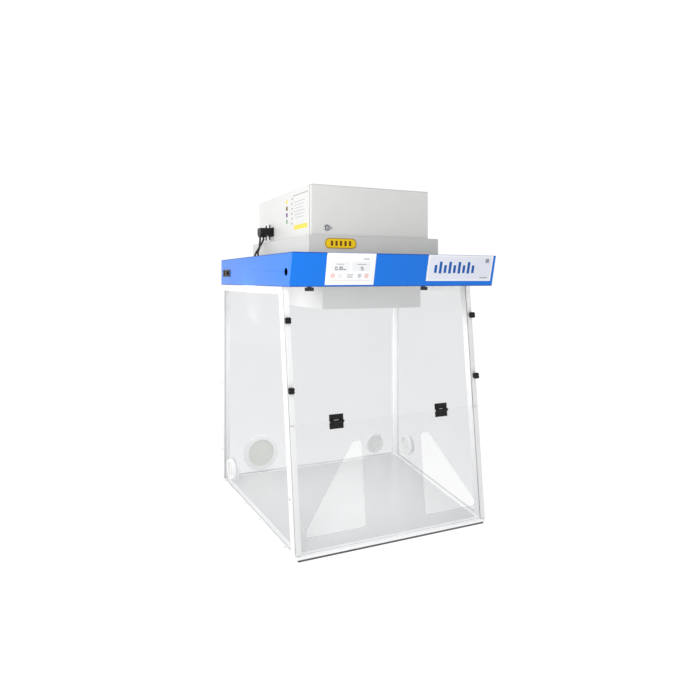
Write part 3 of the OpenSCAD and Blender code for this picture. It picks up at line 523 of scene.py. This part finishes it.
ink_dark = finish_of("ink_dark", (0.06, 0.06, 0.07), 0.4, specular=0.2)
ink_grey = finish_of("ink_grey", (0.30, 0.31, 0.33), 0.4, specular=0.2)
ink_soft = finish_of("ink_soft", (0.46, 0.47, 0.49), 0.4, specular=0.2)
ink_blue = finish_of("ink_blue", (0.01, 0.10, 0.40), 0.4, specular=0.2)
ink_red = finish_of("ink_red", (0.70, 0.22, 0.16), 0.4, specular=0.2)
ink_green = finish_of("ink_green", (0.26, 0.40, 0.32), 0.4, specular=0.2)
ink_lilac = finish_of("ink_lilac", (0.76, 0.78, 0.87), 0.35, mottle=(12.0, 0.02), specular=0.2)
ink_brown = finish_of("ink_brown", (0.16, 0.055, 0.004), 0.4, specular=0.2)
ink_gold = finish_of("ink_gold", (0.34, 0.19, 0.01), 0.35, specular=0.3)
ink_purple = finish_of("ink_purple", (0.16, 0.07, 0.26), 0.4, specular=0.2)
# painted shade: a darker blue for the shade at the canopy's folded edges
fold_shade_blue = finish_of("fold_shade_blue", (0.003, 0.06, 0.36), 0.35, specular=0.2)
label_yellow = finish_of("label_yellow", (0.90, 0.72, 0.10), 0.5, mottle=(20.0, 0.02), specular=0.2)

# touch panel: two readings on the tiles, and a row of flat keys
DIGIT_Z, DIGIT_H = 61, 12
KEY_Z = 37.0
readings = [bar(-237.5, 56.2, 2.2, 2.2), bar(-213, 57.5, 8, 2.4)]
for char, x in (("0", -244), ("3", -232), ("5", -223), ("1", -157), ("5", -148)):
    readings += digit(char, x, DIGIT_Z, DIGIT_H)
band_marks("panel_values", readings, ink_dark, y0=TILE_FACE)
band_marks("panel_captions", [bar(-232, 75, 26, 2.0), bar(-152, 75, 34, 2.0)],
           ink_grey, y0=TILE_FACE)
band_marks("panel_mark", [bar(-136, 93, 20, 3.0)], ink_grey)
band_marks("panel_keys_red",
           ring(-254, KEY_Z, 5.2, 7.2) + ring(-131, KEY_Z, 5.2, 7.2)
           + [bar(-254, KEY_Z, 4, 4), bar(-131, KEY_Z, 4, 4)], ink_red, depth=THICK)
band_marks("panel_keys_grey", ring(-228, KEY_Z, 6.0, 7.0) + [bar(-228, KEY_Z, 5, 1.6)],
           ink_soft, depth=THICK)
band_marks("panel_keys_dark", ring(-157, KEY_Z, 4.6, 6.6) + [bar(-157, KEY_Z, 4, 4)],
           ink_grey, depth=THICK)
band_marks("panel_lines",
           [bar(-192, KEY_Z + 3, 24, 2.2), bar(-192, KEY_Z - 2, 20, 1.8),
            bar(-192, KEY_Z - 6, 22, 1.4), bar(-192, 22, 150, 0.8)], ink_grey)

# sign plate: pale field and a plain pattern in place of any name
band_marks("sign_field", [rounded(246, 65, 266, 82, 3)], ink_lilac)
sign_bars = [bar(140 + 20 * i, 62 + 5 * (i % 2), 11, 28 + 14 * (i % 2)) for i in range(9)]
band_marks("sign_bars", sign_bars, ink_blue, y0=PANEL_FACE + THIN)
band_marks("sign_corner", [bar(360, 93, 16, 15)], ink_grey, y0=PANEL_FACE + THIN)
band_marks("sign_foot", [bar(352, 31, 34, 3)], ink_grey, y0=PANEL_FACE + THIN)

# badge: gold-brown rim and plain blocks
badge_bars = [bar(-36 + 18 * i, 0, 9, 18) for i in range(5)]
marks("badge_rim", pill_rim(44.0, 15.6, 18.3), 0.0, BADGE_RIM, BADGE, ink_gold)
marks("badge_bars", badge_bars, BADGE_FACE, MEDIUM, BADGE, ink_brown)

# darker blue strips along the top and the foot of the canopy, painted shade at its folded edges;
# the front's upper one runs only where no plate covers it
FOLD = 2.6
front_folds = [bar(x, 110.9, w, FOLD)
               for x, w in ((-338.4, 118.2), (2.5, 206.4), (391.9, 11.2))]
front_folds.append(bar(0, 1.5, 797, FOLD))
left_folds = [bar(374, 108.4, 734, FOLD), bar(362, 1.5, 710, FOLD)]
marks("canopy_fold_shade_front", front_folds, 0.0, THICK, BAND, fold_shade_blue)
marks("canopy_fold_shade_left", left_folds, 0.0, THICK, BAND_LEFT, fold_shade_blue)

# dark ring round the lock's key hole
marks("lock_ring", ring(0, 0, 7.2, 9.4), 0.0, MEDIUM, LOCK, ink_dark, body="lock")

# labels on the left side of the fan box: plain colours and short lines only
box_marks("label_heading", [box_bar(-20 - 13 * i, 1222, 8, 4.5) for i in range(10)], ink_grey)
box_marks("label_strip", [box_bar(-82, 1099, 112, 17)], label_yellow)
box_marks("label_lines", [box_bar(-70, 1196 - 12 * i, 96 - 14 * (i % 3), 2.4) for i in range(6)],
          ink_soft)
box_marks("label_marks", [box_bar(-9 + 3 * (i % 2), 1212 - 19 * i, 9, 7) for i in range(6)],
          ink_grey)
for name, z, ink in (("yellow", 1207, label_yellow), ("red", 1181, ink_brown),
                     ("purple", 1155, ink_purple), ("green", 1129, ink_green)):
    box_marks("label_square_" + name, [box_bar(41, z, 15, 16)], ink)
